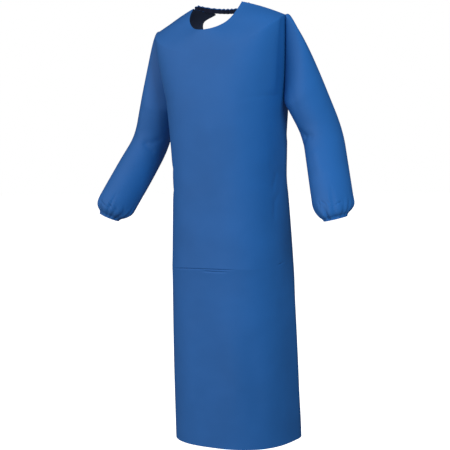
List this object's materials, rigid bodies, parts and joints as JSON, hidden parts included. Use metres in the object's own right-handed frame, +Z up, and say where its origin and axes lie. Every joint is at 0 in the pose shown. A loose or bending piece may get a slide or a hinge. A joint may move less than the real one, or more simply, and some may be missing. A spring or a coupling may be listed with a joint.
{
  "type": "protective apron",
  "caption": "Full-length protective apron with long sleeves gathered at the wrists, a round neck, a ruffled band behind the neck and an open back, in matte coated blue cloth.",
  "frame": {"origin": "on the centre line, level with the two points where the shoulder seams meet the neckline, 16 mm behind the middle of the shoulders' thickness: the height at which the wearer's shoulders hold the apron", "axes": "+Z up, the apron faces -Y, the wearer's left is +X"},
  "size_m": [0.8462, 0.2583, 1.254],
  "materials": {
    "front_cloth": "matte coated knit",
    "back_cloth": "matte coated knit",
    "sleeve_cloth": "matte coated knit",
    "band_cloth": "matte coated knit, gathered over elastic"
  },
  "bodies": {
    "root": {"front_panel": "front_cloth", "back_panel_left": "back_cloth", "back_panel_right": "back_cloth", "sleeve_left": "sleeve_cloth", "sleeve_right": "sleeve_cloth", "cuff_left": "sleeve_cloth", "cuff_right": "sleeve_cloth", "neck_band": "band_cloth", "waist_strap": "band_cloth"}
  },
  "joints": []
}
